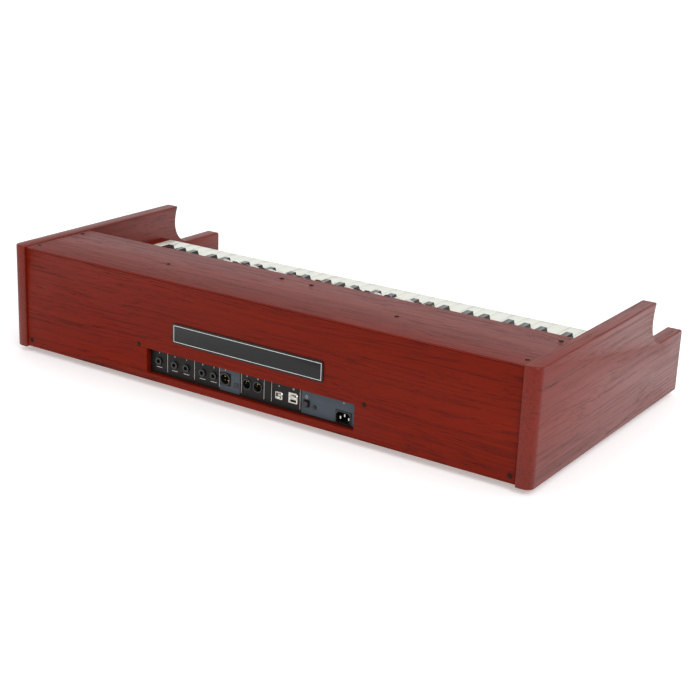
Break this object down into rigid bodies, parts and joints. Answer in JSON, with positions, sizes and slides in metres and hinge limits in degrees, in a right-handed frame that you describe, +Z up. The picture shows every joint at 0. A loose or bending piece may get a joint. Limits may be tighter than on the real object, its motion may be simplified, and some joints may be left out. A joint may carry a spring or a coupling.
{
  "type": "electronic organ",
  "caption": "Two-manual electronic drawbar organ in a stained wooden case with shaped cheeks, a row of drawbars and a recessed connector bay in its rear.",
  "frame": {"origin": "on the floor under the middle of the case's bounding box", "axes": "+Z up, the player at -Y, the connectors at +Y, the bass end at -X"},
  "size_m": [0.932, 0.5, 0.177],
  "materials": {
    "stained_wood": "red-brown stain under satin lacquer",
    "plain_board": "bare fibreboard",
    "ivory_plastic": "gloss",
    "black_plastic": "gloss",
    "brown_plastic": "gloss",
    "white_plastic": "gloss",
    "black_steel": "satin paint",
    "zinc_steel": "zinc plated",
    "rubber": "matt",
    "nickel": "bright plate",
    "circuit_board": "solder mask"
  },
  "bodies": {
    "case": {"bass_cheek": "stained_wood", "treble_cheek": "stained_wood", "rear_panel": "stained_wood", "top_panel": "stained_wood", "bottom_panel": "plain_board", "front_rail": "stained_wood", "upper_key_slip": "stained_wood", "front_bass_foot": "rubber", "front_treble_foot": "rubber", "rear_bass_foot": "rubber", "rear_treble_foot": "rubber", "name_plate": "black_plastic", "connector_plate": "black_steel", "jack_board": "black_plastic", "speaker_socket": "black_plastic", "midi_sockets": "black_plastic", "usb_sockets": "nickel", "mains_inlet": "black_plastic", "upper_keybed": "zinc_steel", "lower_keybed": "zinc_steel", "upper_contact_board": "circuit_board", "lower_contact_board": "circuit_board", "control_panel": "black_steel", "drawbar_unit": "zinc_steel", "main_board": "circuit_board", "power_supply": "zinc_steel"},
    "upper_bass_outer_keys": {"upper_bass_outer_keys": "ivory_plastic"},
    "upper_bass_inner_keys": {"upper_bass_inner_keys": "ivory_plastic"},
    "upper_bass_black_keys": {"upper_bass_black_keys": "black_plastic"},
    "upper_treble_outer_keys": {"upper_treble_outer_keys": "ivory_plastic"},
    "upper_treble_inner_keys": {"upper_treble_inner_keys": "ivory_plastic"},
    "upper_treble_black_keys": {"upper_treble_black_keys": "black_plastic"},
    "lower_bass_outer_keys": {"lower_bass_outer_keys": "ivory_plastic"},
    "lower_bass_inner_keys": {"lower_bass_inner_keys": "ivory_plastic"},
    "lower_bass_black_keys": {"lower_bass_black_keys": "black_plastic"},
    "lower_treble_outer_keys": {"lower_treble_outer_keys": "ivory_plastic"},
    "lower_treble_inner_keys": {"lower_treble_inner_keys": "ivory_plastic"},
    "lower_treble_black_keys": {"lower_treble_black_keys": "black_plastic"},
    "upper_drawbar_16": {"upper_drawbar_16": "brown_plastic"},
    "upper_drawbar_5_1_3": {"upper_drawbar_5_1_3": "brown_plastic"},
    "upper_drawbar_8": {"upper_drawbar_8": "white_plastic"},
    "upper_drawbar_4": {"upper_drawbar_4": "white_plastic"},
    "upper_drawbar_2_2_3": {"upper_drawbar_2_2_3": "black_plastic"},
    "upper_drawbar_2": {"upper_drawbar_2": "white_plastic"},
    "upper_drawbar_1_3_5": {"upper_drawbar_1_3_5": "black_plastic"},
    "upper_drawbar_1_1_3": {"upper_drawbar_1_1_3": "black_plastic"},
    "upper_drawbar_1": {"upper_drawbar_1": "white_plastic"},
    "bass_drawbar_16": {"bass_drawbar_16": "brown_plastic"},
    "bass_drawbar_8": {"bass_drawbar_8": "brown_plastic"},
    "lower_drawbar_16": {"lower_drawbar_16": "brown_plastic"},
    "lower_drawbar_5_1_3": {"lower_drawbar_5_1_3": "brown_plastic"},
    "lower_drawbar_8": {"lower_drawbar_8": "white_plastic"},
    "lower_drawbar_4": {"lower_drawbar_4": "white_plastic"},
    "lower_drawbar_2_2_3": {"lower_drawbar_2_2_3": "black_plastic"},
    "lower_drawbar_2": {"lower_drawbar_2": "white_plastic"},
    "lower_drawbar_1_3_5": {"lower_drawbar_1_3_5": "black_plastic"},
    "lower_drawbar_1_1_3": {"lower_drawbar_1_1_3": "black_plastic"},
    "lower_drawbar_1": {"lower_drawbar_1": "white_plastic"},
    "volume_knob": {"volume_knob": "black_plastic"},
    "power_button": {"power_button": "black_plastic"}
  },
  "joints": [
    {"name": "upper_bass_outer_keys_press", "type": "hinge", "parent": "case", "child": "upper_bass_outer_keys", "pos_m": [0, 0.1053, 0.1113], "axis": [1, 0, 0], "range_deg": [0, 2.9], "stiffness_Nm_per_rad": 8, "springref_deg": -5.73},
    {"name": "upper_bass_inner_keys_press", "type": "hinge", "parent": "case", "child": "upper_bass_inner_keys", "pos_m": [0, 0.1053, 0.1113], "axis": [1, 0, 0], "range_deg": [0, 2.9], "stiffness_Nm_per_rad": 8, "springref_deg": -5.73},
    {"name": "upper_bass_black_keys_press", "type": "hinge", "parent": "case", "child": "upper_bass_black_keys", "pos_m": [0, 0.1053, 0.1113], "axis": [1, 0, 0], "range_deg": [0, 2.9], "stiffness_Nm_per_rad": 8, "springref_deg": -5.73},
    {"name": "upper_treble_outer_keys_press", "type": "hinge", "parent": "case", "child": "upper_treble_outer_keys", "pos_m": [0, 0.1053, 0.1113], "axis": [1, 0, 0], "range_deg": [0, 2.9], "stiffness_Nm_per_rad": 8, "springref_deg": -5.73},
    {"name": "upper_treble_inner_keys_press", "type": "hinge", "parent": "case", "child": "upper_treble_inner_keys", "pos_m": [0, 0.1053, 0.1113], "axis": [1, 0, 0], "range_deg": [0, 2.9], "stiffness_Nm_per_rad": 8, "springref_deg": -5.73},
    {"name": "upper_treble_black_keys_press", "type": "hinge", "parent": "case", "child": "upper_treble_black_keys", "pos_m": [0, 0.1053, 0.1113], "axis": [1, 0, 0], "range_deg": [0, 2.9], "stiffness_Nm_per_rad": 8, "springref_deg": -5.73},
    {"name": "lower_bass_outer_keys_press", "type": "hinge", "parent": "case", "child": "lower_bass_outer_keys", "pos_m": [0, -0.01, 0.0481], "axis": [1, 0, 0], "range_deg": [0, 2.9], "stiffness_Nm_per_rad": 8, "springref_deg": -5.73},
    {"name": "lower_bass_inner_keys_press", "type": "hinge", "parent": "case", "child": "lower_bass_inner_keys", "pos_m": [0, -0.01, 0.0481], "axis": [1, 0, 0], "range_deg": [0, 2.9], "stiffness_Nm_per_rad": 8, "springref_deg": -5.73},
    {"name": "lower_bass_black_keys_press", "type": "hinge", "parent": "case", "child": "lower_bass_black_keys", "pos_m": [0, -0.01, 0.0481], "axis": [1, 0, 0], "range_deg": [0, 2.9], "stiffness_Nm_per_rad": 8, "springref_deg": -5.73},
    {"name": "lower_treble_outer_keys_press", "type": "hinge", "parent": "case", "child": "lower_treble_outer_keys", "pos_m": [0, -0.01, 0.0481], "axis": [1, 0, 0], "range_deg": [0, 2.9], "stiffness_Nm_per_rad": 8, "springref_deg": -5.73},
    {"name": "lower_treble_inner_keys_press", "type": "hinge", "parent": "case", "child": "lower_treble_inner_keys", "pos_m": [0, -0.01, 0.0481], "axis": [1, 0, 0], "range_deg": [0, 2.9], "stiffness_Nm_per_rad": 8, "springref_deg": -5.73},
    {"name": "lower_treble_black_keys_press", "type": "hinge", "parent": "case", "child": "lower_treble_black_keys", "pos_m": [0, -0.01, 0.0481], "axis": [1, 0, 0], "range_deg": [0, 2.9], "stiffness_Nm_per_rad": 8, "springref_deg": -5.73},
    {"name": "upper_drawbar_16_pull", "type": "slide", "parent": "case", "child": "upper_drawbar_16", "axis": [0, -0.8829, -0.4695], "range_m": [0, 0.029]},
    {"name": "upper_drawbar_5_1_3_pull", "type": "slide", "parent": "case", "child": "upper_drawbar_5_1_3", "axis": [0, -0.8829, -0.4695], "range_m": [0, 0.029]},
    {"name": "upper_drawbar_8_pull", "type": "slide", "parent": "case", "child": "upper_drawbar_8", "axis": [0, -0.8829, -0.4695], "range_m": [0, 0.029]},
    {"name": "upper_drawbar_4_pull", "type": "slide", "parent": "case", "child": "upper_drawbar_4", "axis": [0, -0.8829, -0.4695], "range_m": [0, 0.029]},
    {"name": "upper_drawbar_2_2_3_pull", "type": "slide", "parent": "case", "child": "upper_drawbar_2_2_3", "axis": [0, -0.8829, -0.4695], "range_m": [0, 0.029]},
    {"name": "upper_drawbar_2_pull", "type": "slide", "parent": "case", "child": "upper_drawbar_2", "axis": [0, -0.8829, -0.4695], "range_m": [0, 0.029]},
    {"name": "upper_drawbar_1_3_5_pull", "type": "slide", "parent": "case", "child": "upper_drawbar_1_3_5", "axis": [0, -0.8829, -0.4695], "range_m": [0, 0.029]},
    {"name": "upper_drawbar_1_1_3_pull", "type": "slide", "parent": "case", "child": "upper_drawbar_1_1_3", "axis": [0, -0.8829, -0.4695], "range_m": [0, 0.029]},
    {"name": "upper_drawbar_1_pull", "type": "slide", "parent": "case", "child": "upper_drawbar_1", "axis": [0, -0.8829, -0.4695], "range_m": [0, 0.029]},
    {"name": "bass_drawbar_16_pull", "type": "slide", "parent": "case", "child": "bass_drawbar_16", "axis": [0, -0.8829, -0.4695], "range_m": [0, 0.029]},
    {"name": "bass_drawbar_8_pull", "type": "slide", "parent": "case", "child": "bass_drawbar_8", "axis": [0, -0.8829, -0.4695], "range_m": [0, 0.029]},
    {"name": "lower_drawbar_16_pull", "type": "slide", "parent": "case", "child": "lower_drawbar_16", "axis": [0, -0.8829, -0.4695], "range_m": [0, 0.029]},
    {"name": "lower_drawbar_5_1_3_pull", "type": "slide", "parent": "case", "child": "lower_drawbar_5_1_3", "axis": [0, -0.8829, -0.4695], "range_m": [0, 0.029]},
    {"name": "lower_drawbar_8_pull", "type": "slide", "parent": "case", "child": "lower_drawbar_8", "axis": [0, -0.8829, -0.4695], "range_m": [0, 0.029]},
    {"name": "lower_drawbar_4_pull", "type": "slide", "parent": "case", "child": "lower_drawbar_4", "axis": [0, -0.8829, -0.4695], "range_m": [0, 0.029]},
    {"name": "lower_drawbar_2_2_3_pull", "type": "slide", "parent": "case", "child": "lower_drawbar_2_2_3", "axis": [0, -0.8829, -0.4695], "range_m": [0, 0.029]},
    {"name": "lower_drawbar_2_pull", "type": "slide", "parent": "case", "child": "lower_drawbar_2", "axis": [0, -0.8829, -0.4695], "range_m": [0, 0.029]},
    {"name": "lower_drawbar_1_3_5_pull", "type": "slide", "parent": "case", "child": "lower_drawbar_1_3_5", "axis": [0, -0.8829, -0.4695], "range_m": [0, 0.029]},
    {"name": "lower_drawbar_1_1_3_pull", "type": "slide", "parent": "case", "child": "lower_drawbar_1_1_3", "axis": [0, -0.8829, -0.4695], "range_m": [0, 0.029]},
    {"name": "lower_drawbar_1_pull", "type": "slide", "parent": "case", "child": "lower_drawbar_1", "axis": [0, -0.8829, -0.4695], "range_m": [0, 0.029]},
    {"name": "volume_turn", "type": "hinge", "parent": "case", "child": "volume_knob", "pos_m": [-0.4, 0.07496, 0.15132], "axis": [0, -0.4695, 0.8829], "range_deg": [-135, 135]},
    {"name": "power_press", "type": "slide", "parent": "case", "child": "power_button", "axis": [0, -1, 0], "range_m": [0, 0.0025], "stiffness_N_per_m": 600, "springref_m": -0.001}
  ]
}
